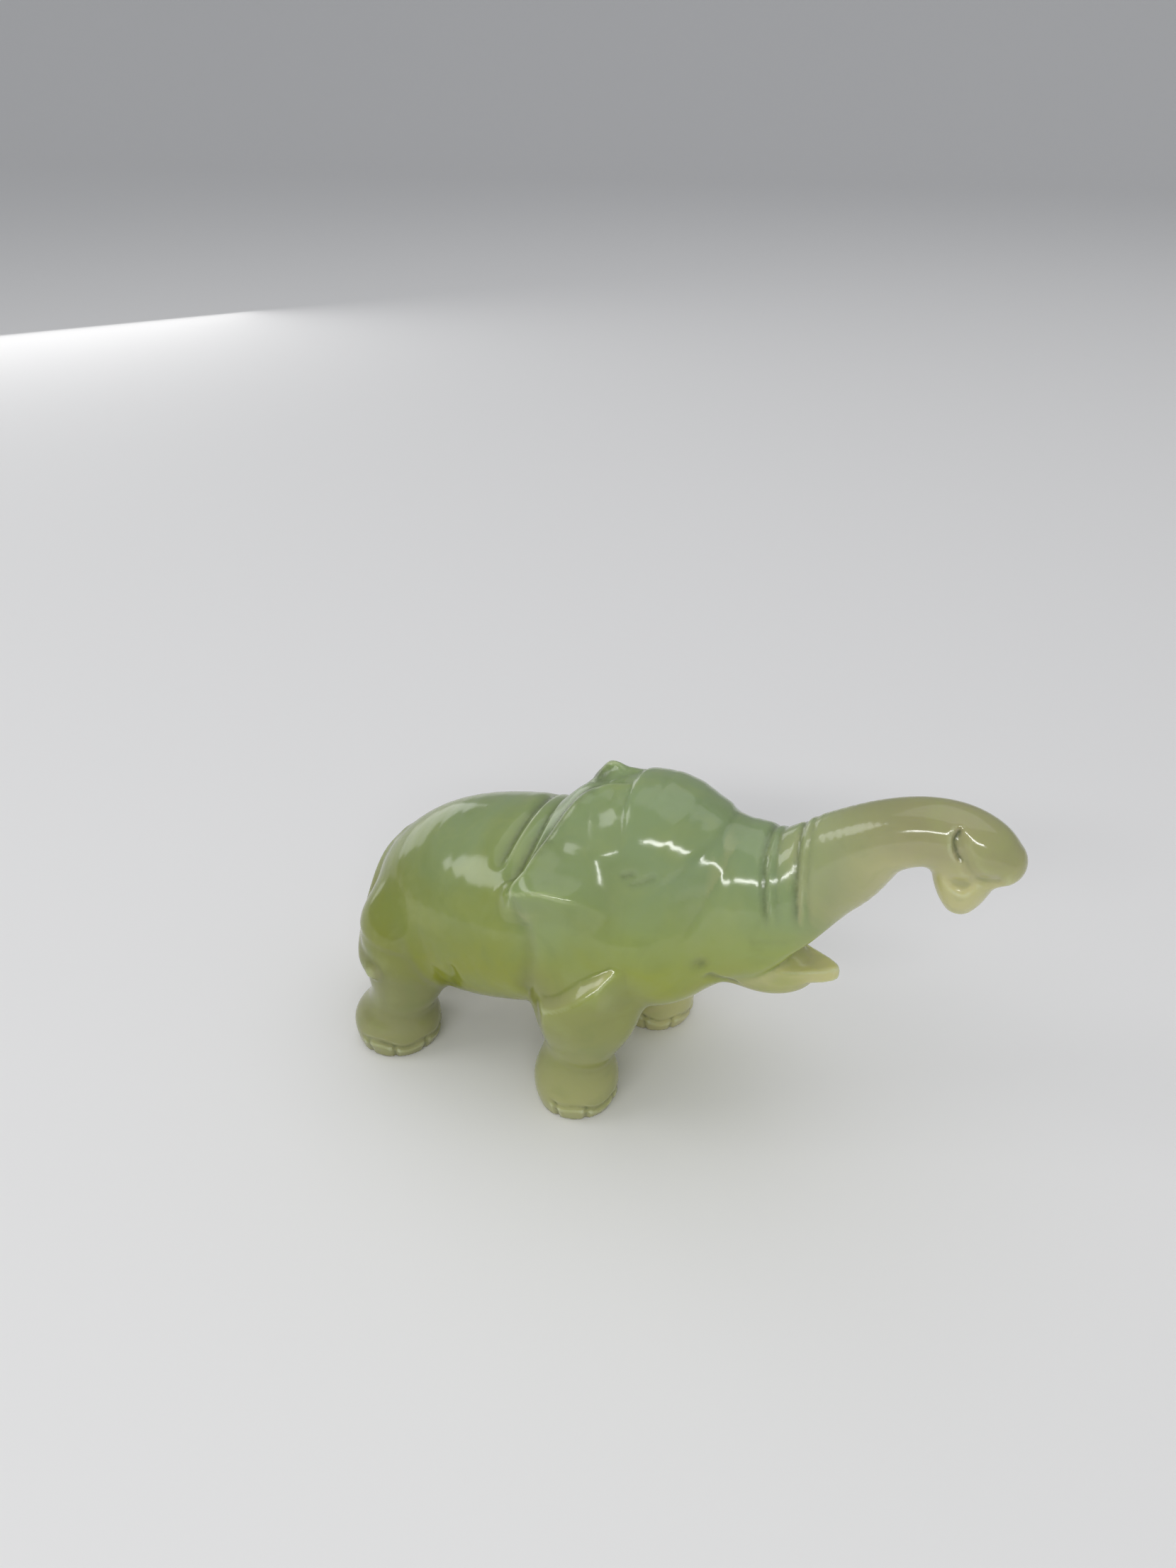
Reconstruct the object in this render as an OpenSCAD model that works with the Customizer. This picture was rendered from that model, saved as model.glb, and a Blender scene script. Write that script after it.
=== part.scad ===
// A small elephant carved from one block of translucent pale green jade.
// It stands on four round feet with its trunk thrust forward and the end curled down.
// X runs forward to the trunk, Y to the elephant's left, Z up; the soles are at Z = 0.
// The carving is one stone: each module is one carved region of it. Neighbouring regions
// share the same surface exactly, because each is cut by the one it grows from.
// Distances along X are measured from the crown, the cross plane through the top of the
// skull; place() then shifts the whole carving so that it is centred over the frame's origin.

/* [Body] */
// Width of the barrel at its widest
barrel_w = 35.6; // [33.5:0.1:37]
// Height of the barrel at its deepest
barrel_h = 33.2; // [31.6:0.1:34.4]
// Height above the table of the barrel's middle line, where it is widest
barrel_z = 28.3; // [27.6:0.1:29]
// Length of the rounded rump, behind the full width of the hips
rump_len = 14.6; // [13.6:0.1:15.8]
// Width of the V-cut collar grooves behind the ears
groove_w = 1.8; // [1:0.1:2.6]
// How far the front collar groove lies behind the crown
groove_x = 14.4; // [13.8:0.1:15]

/* [Head] */
// Width of the head across the cheeks
head_w = 23.2; // [22:0.1:25]
// Depth of the head from crown to throat
head_h = 28.2; // [27:0.1:29.4]
// Height of the middle of the head above the table, below the brow
head_z = 39.3; // [38.7:0.1:40]
// Width of the ring grooves round the root of the trunk
ring_w = 1.0; // [0.6:0.1:1.6]
// Depth of the ring grooves round the root of the trunk
ring_d = 0.4; // [0.2:0.1:0.8]

/* [Trunk] */
// Diameter of the trunk near its curled end
trunk_d = 9.3; // [8.4:0.1:10.2]
// Height of the middle of the trunk at the top of its arch
trunk_z = 53.6; // [52.4:0.1:55]
// How far the middle of the curled end lies ahead of the crown
curl_x = 46.3; // [45:0.1:48]
// Height of the lobe that hangs below the curled end
lobe_len = 8.8; // [7.5:0.1:10]
// Width of the nostril slot that parts hood and lobe
slot_w = 0.9; // [0.5:0.1:1.4]

/* [Ears] */
// How far an ear stands out from the neck along its free edge
ear_t = 1.5; // [1:0.1:2.2]
// Height of the ear's top corner above the table
ear_top_z = 51.6; // [50.8:0.1:52.4]
// Depth of the hollow dished into each ear
ear_dish = 1.4; // [0.8:0.1:2]

/* [Mouth] */
// Width of the lower lip where it leaves the jaw
lip_w = 11.2; // [10:0.1:12.5]
// Thickness of the lower lip
lip_t = 2.2; // [1.6:0.1:2.8]
// Height of the lip's flat top above the table
lip_z = 28.2; // [27.6:0.1:28.8]
// How far the pointed lip reaches ahead of the crown
lip_x = 30.8; // [29:0.1:32.5]

/* [Legs and feet] */
// How far the right front foot's centre lies behind the crown
front_x = 6.0; // [5.4:0.1:7.4]
// How far the left front foot steps ahead of the right one
front_step = 4.5; // [3:0.1:6]
// How far the rear feet's centres lie behind the crown
rear_x = 39.5; // [38.5:0.1:40]
// Distance between the centres of the two front feet
front_stance = 24.0; // [22.6:0.1:25]
// Distance between the centres of the two rear feet
rear_stance = 21.0; // [19.6:0.1:22.4]
// Diameter of a front foot
front_foot_d = 13.3; // [12.4:0.1:14]
// Diameter of a rear foot
rear_foot_d = 14.3; // [13.4:0.1:15]
// Height of the foot, up to the narrow of the leg
foot_h = 9.4; // [8.8:0.1:10]
// Height of the band of toenails round the foot
nail_h = 3.0; // [2.4:0.1:3.6]

/* [Tail] */
// Width of the tail
tail_w = 3.6; // [3:0.1:4]

/* [Hidden] */
thin = 0.02;

jade = [0.58, 0.68, 0.50];

// A smooth curve through the stations p, with n steps in every span.
function mix4(a, b, c, d, t) = 0.5 * (2 * b + (c - a) * t + (2 * a - 5 * b + 4 * c - d) * t * t
    + (3 * b - a - 3 * c + d) * t * t * t);
function fair(p, n) = [for (i = [0 : len(p) - 2], k = [0 : n - 1])
    mix4(i > 0 ? p[i - 1] : 2 * p[0] - p[1], p[i], p[i + 1],
        i < len(p) - 2 ? p[i + 2] : 2 * p[len(p) - 1] - p[len(p) - 2], k / n), p[len(p) - 1]];
function heading(p, i) = let (a = p[max(i - 1, 0)], b = p[min(i + 1, len(p) - 1)])
    atan2(b[1] - a[1], b[0] - a[0]);

// One elliptical slice across a member in the X-Z plane: [x, z, half width, half height].
module slice(r, turn, n) {
    translate([r[0], 0, r[1]]) rotate([0, 90 - turn, 0]) scale([r[3], r[2], 1])
        cylinder(h = thin, r = 1, center = true, $fn = n);
}
// A member whose slices stand square to its path, as on the trunk.
module member(p, n) {
    for (i = [0 : len(p) - 2]) hull() {
        slice(p[i], heading(p, i), n);
        slice(p[i + 1], heading(p, i + 1), n);
    }
}
// A member whose slices all face straight forward, as on the body.
module barrel(p, n) {
    for (i = [0 : len(p) - 2]) hull() {
        slice(p[i], 0, n);
        slice(p[i + 1], 0, n);
    }
}
// A leg or foot, from level round slices: [x, y, z, radius].
module level(r, n) {
    translate([r[0], r[1], r[2]]) cylinder(h = thin, r = r[3], center = true, $fn = n);
}
module post(p, n = 24) {
    for (i = [0 : len(p) - 2]) hull() {
        level(p[i], n);
        level(p[i + 1], n);
    }
}
module egg(c, r, n = 20) {
    translate(c) scale(r) sphere(r = 1, $fn = n);
}

// ---- stations ----
bw = barrel_w / 2;
bh = barrel_h / 2;
hip_x = -31;
rump_x = hip_x - rump_len;
// The rump, from its tip: [share of its length, drop below the barrel's middle, shares of
// the barrel's half width and half height].
rump = [[1, 4.7, 0.03, 0.03], [0.983, 4.7, 0.166, 0.196], [0.938, 4.7, 0.28, 0.32],
    [0.877, 4.6, 0.38, 0.435], [0.78, 4.4, 0.495, 0.55], [0.637, 4.1, 0.615, 0.675],
    [0.48, 3.8, 0.708, 0.776], [0.342, 3.6, 0.772, 0.84], [0.2, 3.3, 0.823, 0.887]];
torso_rows = concat([for (r = rump) [hip_x - r[0] * rump_len, barrel_z - r[1], bw * r[2], bh * r[3]]],
    fair([[hip_x, barrel_z - 3.0, bw * 0.888, bh * 0.946], [-24, barrel_z - 2.0, bw * 0.966, bh],
        [-18, barrel_z - 1.0, bw * 0.995, bh * 0.988], [-12, barrel_z, bw, bh * 0.946],
        [-6, barrel_z + 0.9, bw * 0.966, bh * 0.898], [2, barrel_z + 1.7, bw * 0.882, bh * 0.837],
        [8, barrel_z + 1.9, bw * 0.787, bh * 0.747]], 2),
    [[12, barrel_z + 1.9, bw * 0.60, bh * 0.57], [14.5, barrel_z + 1.9, bw * 0.37, bh * 0.35],
        [15.6, barrel_z + 1.9, bw * 0.15, bh * 0.15]]);

hw = head_w / 2;
hh = head_h / 2;
head_rows = concat([[-14.5, head_z + 0.3, hw * 0.12, hh * 0.10], [-13.8, head_z + 0.3, hw * 0.33, hh * 0.32],
        [-12, head_z + 0.2, hw * 0.57, hh * 0.56]],
    fair([[-9, head_z, hw * 0.75, hh * 0.743], [-5, head_z, hw * 0.871, hh * 0.837],
        [0, head_z + 1.0, hw * 0.974, hh * 0.931], [5, head_z, hw * 0.995, hh * 1.005],
        [10, head_z - 1.6, hw * 0.92, hh * 0.995], [15, head_z - 4.2, hw * 0.82, hh * 0.85],
        [21, head_z - 4.0, hw * 0.68, hh * 0.755]], 3));

td = trunk_d / 2;
// the trunk's root is as deep as the face that it grows from
trunk_rows = fair([[17, trunk_z - 15.4, td * 1.72, hh * 0.765], [23.1, trunk_z - 12.2, td * 1.44, td * 1.63],
    [28.5, trunk_z - 7.2, td * 1.23, td * 1.44], [33.5, trunk_z - 2.6, td * 1.10, td * 1.12],
    [38.5, trunk_z - 0.2, td * 1.01, td * 1.01], [43, trunk_z + 0.1, td * 0.99, td * 1.03],
    [curl_x + 0.3, trunk_z - 0.8, td * 0.95, td * 0.97]], 3);
trunk_cut = len(trunk_rows) - 5;

// Each leg: [foot x, foot y, thigh x, thigh y, foot radius, front leg?]
front_left = [front_step - front_x, front_stance / 2, -3.5, 10.5, front_foot_d / 2, true];
front_right = [-front_x, -front_stance / 2, -4.2, -10.5, front_foot_d / 2, true];
rear_left = [-rear_x, rear_stance / 2, -36, 8.5, rear_foot_d / 2, false];
rear_right = [-rear_x, -rear_stance / 2, -36, -8.5, rear_foot_d / 2, false];
function narrow(k) = k[4] * 0.75;
// the narrow of a front leg stands over its foot, that of a rear leg ahead of it
function ankle_x(k) = k[5] ? 0.9 * k[0] + 0.1 * k[2] : k[0] + 1.9;
function leg_rows(k) = let (x = k[0], y = k[1], u = k[2], v = k[3]) fair(k[5]
    ? [[u, v * 0.66, 35, 3.5], [u, v * 0.8, 31, 7], [u, v * 0.9, 27.5, 8.0], [u, v * 0.97, 24, 8.1],
        [0.25 * x + 0.75 * u, 0.3 * y + 0.7 * v, 18.5, 7.85],
        [0.45 * x + 0.55 * u + 0.3, y, 13.4, 6.3], [ankle_x(k), y, foot_h, narrow(k)]]
    : [[u, v * 0.6, 31, 4], [u, v * 0.85, 27.5, 7.4], [u, v, 22, 8.7],
        [0.2 * x + 0.8 * u, (y + v) / 2, 16, 7.2], [0.3 * x + 0.7 * u, y, 12, 5.9],
        [ankle_x(k), y, foot_h, narrow(k)]], 2);

// ---- full solids, before they are cut where they meet ----
module torso_solid() {
    barrel(torso_rows, 40);
    // the swell of the shoulder that carries the foot of each ear
    for (s = [-1, 1]) egg([-7.5, s * 9.2, barrel_z + 5.7], [7.4, 8.0, 8.4], 24);
}
module head_solid() barrel(head_rows, 40);
module trunk_solid(inset = 0) {
    member([for (i = [0 : trunk_cut]) let (r = trunk_rows[i]) [r[0], r[1], r[2] - inset, r[3] - inset]], 30);
    // the root, level where it enters the face above the mouth
    hull() {
        slice(trunk_rows[0], heading(trunk_rows, 0), 30);
        slice([17, trunk_z - 17.4, td * 1.70, td * 1.66], 0, 30);
    }
}
module leg_solid(k) {
    s = sign(k[1]);
    post(leg_rows(k));
    // the bulging forearm, with the sloping fold of skin across its top
    if (k[5]) difference() {
        egg([k[2] + 0.2, s * 12.4, 20.4], [7.9, 8.2, 8.6], 24);
        translate([k[2] + 2, s * 18, 26.0]) rotate([s * -25, -36, 0])
            translate([-20, -20, 0]) cube([40, 40, 20]);
        translate([k[2] - 10, k[1] - 10, 0]) cube([20, 20, foot_h + 2]);
    }
}
module jaw_solid() {
    hull() {
        egg([19.5, 0, lip_z - 2.2], [8, lip_w / 2 - 0.1, 4.2], 24);
        egg([13, 0, lip_z - 0.5], [6, 5.6, 4.4], 20);
    }
}
// The end of the trunk: a rounded hood in front and a lobe hanging behind it.
module trunk_end_solid() {
    member([for (i = [trunk_cut : len(trunk_rows) - 1]) trunk_rows[i]], 30);
    hull() {
        egg([curl_x + 0.3, 0, trunk_z - 0.8], [td * 0.95, td * 0.95, td * 0.97], 24);
        egg([curl_x + 3.0, 0, trunk_z - 2.0], [3.4, 3.5, 3.4], 24);
    }
    hull() {
        egg([curl_x - 1.0, 0, trunk_z - 2.6], [4.9, 4.4, 3], 24);
        egg([curl_x - 1.1, 0, trunk_z - 5.2], [4.1, 4.0, 2.5], 24);
        egg([curl_x - 1.1, 0, trunk_z + 0.1 - lobe_len], [2.5, 2.6, 2.5], 20);
    }
}

// One ear: an outline on a plane that leans against the neck, side = -1 right, +1 left.
// Each rim point is [x, distance down the ear, how far it stands off the leaning plane].
ear_rim = [[-1.5, -2.8, -0.4], [-5, -2.2, -0.3], [-8.5, 0, -0.5], [-11.2, 4.4, -1.2], [-13, 9.4, -1.3],
    [-14.2, 14.6, 0], [-14.3, 17.2, 0.3], [-9.3, 16.2, 0.6], [-3.9, 15.7, -0.8], [2, 15, -2.8],
    [2, 10, -1.2], [1, 3, 0.4]];
// the rounded upper flap that only the left ear has
flap = [[-7.8, 1.2], [-7, -1], [-5.9, -2], [-4.9, -1.6], [-3.6, -0.3], [-3.8, 2.5]];
function on_ear(u, v, w, side) = [u, side * (4 + 0.724 * v + 0.69 * w), ear_top_z - 0.69 * v + 0.724 * w];
module ear_solid(side) {
    q = 0.7;
    difference() {
        union() {
            // the plate in two convex halves, split down the hollow of the ear
            for (half = [[0, 1, 2, 3, 4, 5, 6, 7], [0, 7, 8, 9, 10, 11]])
                hull() for (i = half) {
                    r = ear_rim[i];
                    translate(on_ear(r[0], r[1], r[2] + ear_t - 1.5 - q, side)) sphere(r = q, $fn = 10);
                    translate(on_ear(r[0] + 0.5, r[1] * 0.9 + 0.5, -6, side)) sphere(r = q, $fn = 8);
                }
            if (side > 0) hull() for (r = flap)
                translate(on_ear(r[0], r[1], ear_t - 2.3, side)) sphere(r = 1.2, $fn = 14);
        }
        // the dished hollow
        translate(on_ear(-7.2, 9.6, ear_t + 2.2 - ear_dish, side)) rotate([side * -43.6, 0, 0])
            scale([5.6, 6, 3.2]) sphere(r = 1, $fn = 28);
        // neither ear crosses the ridge of the neck
        translate([-30, side > 0 ? -30 : 0, 20]) cube([60, 30, 60]);
    }
}

// The foot swells below the narrow of the leg and tucks in a little at the sole.
module foot(k) {
    x = k[0];
    y = k[1];
    r = k[4];
    rows = fair([[ankle_x(k), y, foot_h, narrow(k)], [x + 0.4 * (ankle_x(k) - x), y, foot_h - 1.6, r * 0.79],
        [x, y, foot_h - 3.2, r * 0.87], [x, y, foot_h - 4.8, r * 0.95], [x, y, nail_h - 0.2, r],
        [x, y, 0.9, r * 0.99]], 2);
    color(jade) place() difference() {
        union() {
            post(rows, 30);
            post([[x, y, 0.9, r * 0.99], [x, y, 0, r * 0.975]], 30);
        }
        // a crease over the toenails, and short cuts between them, on the front and outer side
        translate([x, y, nail_h]) rotate([0, 0, sign(y) * 22]) difference() {
            translate([0, -r - 1, 0]) cube([r + 1, 2 * r + 2, 0.5]);
            translate([0, 0, -1]) cylinder(h = 3, r = r - 0.45, $fn = 30);
        }
        for (a = [-66 : 33 : 66]) translate([x, y, 0]) rotate([0, 0, a + sign(y) * 22])
            translate([r * 0.99, 0, nail_h * 0.5]) cube([1.1, 0.55, nail_h], center = true);
    }
}

// A V-cut that runs over the back from one shoulder to the other.
module collar(x0, reach) {
    s = groove_w / 1.414;
    p = [for (i = [-4 : 4]) let (a = i * reach / 4)
        [x0 - 0.5 * (1 - cos(a * 1.5)), (bw + 0.1) * sin(a), barrel_z + (bh * 0.955 + 0.1) * cos(a), a]];
    for (i = [0 : len(p) - 2]) hull() for (q = [p[i], p[i + 1]])
        translate([q[0], q[1], q[2]]) rotate([-q[3], 0, 0]) rotate([0, 45, 0])
            cube([s, 0.1, s], center = true);
}
// A shallow cut all round the trunk, x0 being where it crosses the middle line of the head.
module ring_groove(x0, lean) difference() {
    translate([x0, 0, head_z]) rotate([0, -lean, 0]) cube([ring_w, 40, 40], center = true);
    trunk_solid(ring_d);
}

// ---- carved regions ----
// the frame's middle lies halfway between the hood's tip and the rearmost of rump and heel
mid_x = (curl_x + 6.4 + min(rump_x, -rear_x - rear_foot_d / 2)) / 2;
module place() translate([-mid_x, 0, 0]) children();
module torso() {
    color(jade) place() difference() {
        torso_solid();
        collar(-groove_x, 43);
        collar(-groove_x - 3.6, 37);
    }
}
module head() {
    color(jade) place() difference() {
        head_solid();
        torso_solid();
    }
}
module trunk() {
    color(jade) place() difference() {
        trunk_solid();
        head_solid();
        ring_groove(21.2, 13.5);
        ring_groove(25.2, 8.5);
    }
}
module trunk_end() {
    color(jade) place() difference() {
        trunk_end_solid();
        trunk_solid();
        // the nostril slot on each side, down from under the bend, and the crease on to the tip
        for (s = [-1, 1]) {
            hull() {
                translate([curl_x - 2.8, s * 4.9, trunk_z + 2.3]) sphere(r = slot_w / 2, $fn = 10);
                translate([curl_x - 1.9, s * 5.3, trunk_z - 0.4]) sphere(r = slot_w * 0.7, $fn = 10);
            }
            hull() {
                translate([curl_x - 1.9, s * 5.3, trunk_z - 0.4]) sphere(r = slot_w * 0.7, $fn = 10);
                translate([curl_x + 0.8, s * 5.1, trunk_z - 2.6]) sphere(r = slot_w * 0.8, $fn = 10);
            }
            hull() {
                translate([curl_x + 0.8, s * 5.1, trunk_z - 2.6]) sphere(r = slot_w * 0.8, $fn = 10);
                translate([curl_x + 3.4, s * 4.0, trunk_z - 3.4]) sphere(r = slot_w * 0.8, $fn = 10);
            }
        }
    }
}
module lower_jaw() {
    color(jade) place() difference() {
        jaw_solid();
        head_solid();
        torso_solid();
        trunk_solid();
        translate([15, -15, lip_z]) cube([30, 30, 20]);
    }
}
// The lip is a flat spade-shaped plate that runs forward to a point.
module lower_lip() {
    w = lip_w / 2;
    edge = [[14, w * 0.9], [21, w], [23, w * 0.84], [25, w * 0.70], [lip_x - 3.8, w * 0.52],
        [lip_x - 1.8, w * 0.34], [lip_x - 0.5, w * 0.16]];
    n = len(edge);
    color(jade) place() difference() {
        translate([0, 0, lip_z - lip_t]) linear_extrude(height = lip_t)
            polygon(concat(edge, [[lip_x, 0]], [for (i = [n - 1 : -1 : 0]) [edge[i][0], -edge[i][1]]]));
        jaw_solid();
        head_solid();
        torso_solid();
        trunk_solid();
    }
}
module ear(side) {
    color(jade) place() difference() {
        ear_solid(side);
        torso_solid();
        head_solid();
        leg_solid(side > 0 ? front_left : front_right);
    }
}
module ear_left() ear(1);
module ear_right() ear(-1);
module leg(k) {
    color(jade) place() difference() {
        leg_solid(k);
        torso_solid();
        head_solid();
    }
}
module leg_front_left() leg(front_left);
module leg_front_right() leg(front_right);
module leg_rear_left() leg(rear_left);
module leg_rear_right() leg(rear_right);
module foot_front_left() foot(front_left);
module foot_front_right() foot(front_right);
module foot_rear_left() foot(rear_left);
module foot_rear_right() foot(rear_right);

// The tail lies along the rump and its end sweeps round to the right flank.
module tail() {
    e = rump_x;
    p = fair([[e + 4.8, 0, barrel_z + 4.5], [e + 2.3, -0.6, barrel_z + 0.9], [e + 0.9, -2.6, barrel_z - 2.9],
        [e + 1.0, -6.2, barrel_z - 6.4], [e + 2.3, -10.4, barrel_z - 8.9],
        [e + 4.0, -13.3, barrel_z - 10.0]], 2);
    color(jade) place() difference() {
        for (i = [0 : len(p) - 2]) hull() {
            translate(p[i]) sphere(r = tail_w / 2, $fn = 14);
            translate(p[i + 1]) sphere(r = tail_w / 2, $fn = 14);
        }
        torso_solid();
        leg_solid(rear_left);
        leg_solid(rear_right);
    }
}

torso();
head();
trunk();
trunk_end();
lower_jaw();
lower_lip();
ear_left();
ear_right();
leg_front_left();
leg_front_right();
leg_rear_left();
leg_rear_right();
foot_front_left();
foot_front_right();
foot_rear_left();
foot_rear_right();
tail();
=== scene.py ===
"""A small elephant carved from one piece of translucent pale green jade.

The whole figure is one polished stone, so it is made here as one continuous skin that
stands for all of its carved regions. Lengths inside the carving functions are in
millimetres, measured from the crown of the head; the skin is written in metres.
"""

import math

import bpy
import numpy as np
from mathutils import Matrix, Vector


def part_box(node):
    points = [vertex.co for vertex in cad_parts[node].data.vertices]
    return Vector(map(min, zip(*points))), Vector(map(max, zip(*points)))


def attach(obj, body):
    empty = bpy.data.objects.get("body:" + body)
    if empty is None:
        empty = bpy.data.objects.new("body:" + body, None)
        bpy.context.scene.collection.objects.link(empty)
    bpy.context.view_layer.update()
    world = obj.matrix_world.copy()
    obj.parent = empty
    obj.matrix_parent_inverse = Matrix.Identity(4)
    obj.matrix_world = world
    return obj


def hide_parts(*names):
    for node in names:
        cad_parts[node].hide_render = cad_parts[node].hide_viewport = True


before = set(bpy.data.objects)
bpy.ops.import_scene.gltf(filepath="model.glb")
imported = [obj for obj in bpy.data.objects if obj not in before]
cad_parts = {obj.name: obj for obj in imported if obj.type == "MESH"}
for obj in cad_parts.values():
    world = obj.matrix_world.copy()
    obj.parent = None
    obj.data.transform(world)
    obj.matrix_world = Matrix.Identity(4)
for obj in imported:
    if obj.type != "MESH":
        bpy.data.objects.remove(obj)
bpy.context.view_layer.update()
CROWN_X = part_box("trunk_end")[1].x * 1000 - 52.7  # where the crown's plane stands in the frame


# ---- camera, floor and light ----
def link(name, data):
    ob = bpy.data.objects.new(name, data)
    bpy.context.scene.collection.objects.link(ob)
    return ob


def make_camera():
    data = bpy.data.cameras.new("view")
    data.sensor_fit = "VERTICAL"
    data.sensor_height = 36.0
    data.lens = 27.03
    data.clip_start = 0.01
    ob = link("view", data)
    ob.location = ((49.80 + CROWN_X) / 1000, -0.1388, 0.137)
    ob.rotation_euler = (math.radians(60), 0, math.radians(23))
    bpy.context.scene.camera = ob


def lamp(name, azimuth, elevation, distance, width, height, power):
    """A soft panel on a sphere round the figure, turned to face its middle."""
    data = bpy.data.lights.new(name, "AREA")
    data.shape = "RECTANGLE"
    data.size, data.size_y, data.energy = width, height, power
    ob = link(name, data)
    a, e = math.radians(azimuth), math.radians(elevation)
    ob.location = (distance * math.cos(a) * math.cos(e), distance * math.sin(a) * math.cos(e),
                   0.03 + distance * math.sin(e))
    ob.rotation_euler = (math.radians(90 - elevation), 0, a + math.radians(90))


def make_sweep():
    """A pale floor that turns up behind the figure: flat, a quarter circle, then upright."""
    turn = np.linspace(0.1, 1.57, 12)
    y = np.concatenate([np.linspace(-6, 2.5, 8), 2.5 + 1.5 * np.sin(turn), [4.0]])
    z = np.concatenate([np.zeros(8), 1.5 - 1.5 * np.cos(turn), [6.0]])
    x = np.linspace(-8, 8, 7)
    X, Y = np.meshgrid(x, y)
    V = np.stack([X, Y, np.broadcast_to(z[:, None], X.shape)], -1).reshape(-1, 3)
    i = np.arange(len(y) - 1)[:, None] * len(x) + np.arange(len(x) - 1)[None]
    F = np.stack([i, i + 1, i + 1 + len(x), i + len(x)], -1).reshape(-1, 4)
    me = bpy.data.meshes.new("sweep")
    me.from_pydata(V.tolist(), [], F.tolist())
    me.shade_smooth()
    ob = link("sweep", me)
    mat = bpy.data.materials.new("pale_floor")
    mat.use_nodes = True
    b = mat.node_tree.nodes["Principled BSDF"]
    b.inputs["Base Color"].default_value = (0.90, 0.89, 0.88, 1)
    b.inputs["Roughness"].default_value = 0.9
    b.inputs["Specular IOR Level"].default_value = 0.1
    me.materials.append(mat)


def make_light():
    world = bpy.data.worlds.new("studio")
    world.use_nodes = True
    world.node_tree.nodes["Background"].inputs["Color"].default_value = (0.92, 0.95, 1.0, 1)
    world.node_tree.nodes["Background"].inputs["Strength"].default_value = 0.40
    bpy.context.scene.world = world
    lamp("long_window", -79, 31, 0.75, 0.64, 0.055, 1.75)
    lamp("side_window", -152, 40, 0.75, 0.30, 0.24, 0.6)
    lamp("far_window", 150, 9, 0.8, 0.55, 0.30, 0.6)
    lamp("ceiling", 60, 80, 1.3, 1.5, 1.5, 4.5)
    bpy.context.scene.view_settings.view_transform = "Standard"


# ---- solid shapes as signed distances, negative inside ----
def join(a, b, k):
    """The smaller of two distances, rounded off by k where they are nearly equal."""
    h = np.clip(1 - np.abs(a - b) / k, 0, 1)
    return np.minimum(a, b) - h * h * k * 0.25


def cut(a, b, k):
    """The larger of two distances, rounded off by k: what both shapes share."""
    return -join(-a, -b, k)


def fair(rows, n):
    """A Catmull-Rom curve through the rows, n samples in every span."""
    p = np.asarray(rows, float)
    q = np.vstack([2 * p[0] - p[1], p, 2 * p[-1] - p[-2]])
    t = np.linspace(0, 1, n, endpoint=False)[:, None]
    out = [0.5 * (2 * b + (c - a) * t + (2 * a - 5 * b + 4 * c - d) * t ** 2
                  + (3 * b - a - 3 * c + d) * t ** 3)
           for a, b, c, d in zip(q[:-3], q[1:-2], q[2:-1], q[3:])]
    return np.vstack(out + [p[-1:]])


def member(P, rows, n=6, side=(0, 1, 0)):
    """A limb of elliptical section along a curve of rows x, y, z, half width, half height.
    Within a span the point is scaled by the local ellipse to a radius k, and the distance
    is its length times (1 - 1/k)."""
    s = fair(rows, n)
    side = np.asarray(side, float)
    best = np.full(len(P), 1e3)
    for a, b in zip(s[:-1], s[1:]):
        reach = max(a[3], a[4], b[3], b[4]) + 4.5
        i = np.flatnonzero(((P > np.minimum(a, b)[:3] - reach) & (P < np.maximum(a, b)[:3] + reach)).all(1))
        if not i.size:
            continue
        ab = b[:3] - a[:3]
        length = np.linalg.norm(ab)
        T = ab / length
        N = np.cross(T, side)
        N /= np.linalg.norm(N)
        Y = np.cross(N, T)
        q = P[i] - a[:3]
        t = np.clip(q @ T / length, 0, 1)
        q = q - t[:, None] * ab
        w, h = a[3] + t * (b[3] - a[3]), a[4] + t * (b[4] - a[4])
        k = np.sqrt((q @ Y / w) ** 2 + (q @ N / h) ** 2 + (q @ T / np.minimum(w, h)) ** 2) + 1e-9
        d = np.sqrt((q * q).sum(1)) * (1 - 1 / k)
        d = np.where(k < 0.35, np.maximum(d, -np.minimum(w, h)), d)
        best[i] = np.minimum(best[i], d)
    return best


def egg(P, centre, radii, rows=None):
    """An ellipsoid: k0 (k0 - 1) / k1, from the point scaled by the radii once and twice."""
    q = P - np.asarray(centre, float)
    if rows is not None:
        q = q @ np.asarray(rows).T
    r = np.asarray(radii, float)
    k0 = np.sqrt(((q / r) ** 2).sum(1)) + 1e-9
    return k0 * (k0 - 1) / (np.sqrt(((q / r ** 2) ** 2).sum(1)) + 1e-9)


def outline(u, v, pts):
    """Distance to a closed flat outline, negative inside it."""
    p = np.asarray(pts, float)
    d, s = np.full(u.shape, 1e9), np.ones(u.shape)
    for a, b in zip(p, np.roll(p, -1, axis=0)):
        ex, ey = b - a
        wx, wy = u - a[0], v - a[1]
        t = np.clip((wx * ex + wy * ey) / (ex * ex + ey * ey), 0, 1)
        d = np.minimum(d, (wx - ex * t) ** 2 + (wy - ey * t) ** 2)
        c1, c2, c3 = v >= a[1], v < b[1], ex * wy > ey * wx
        s = np.where((c1 & c2 & c3) | (~c1 & ~c2 & ~c3), -s, s)
    return s * np.sqrt(d)


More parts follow.
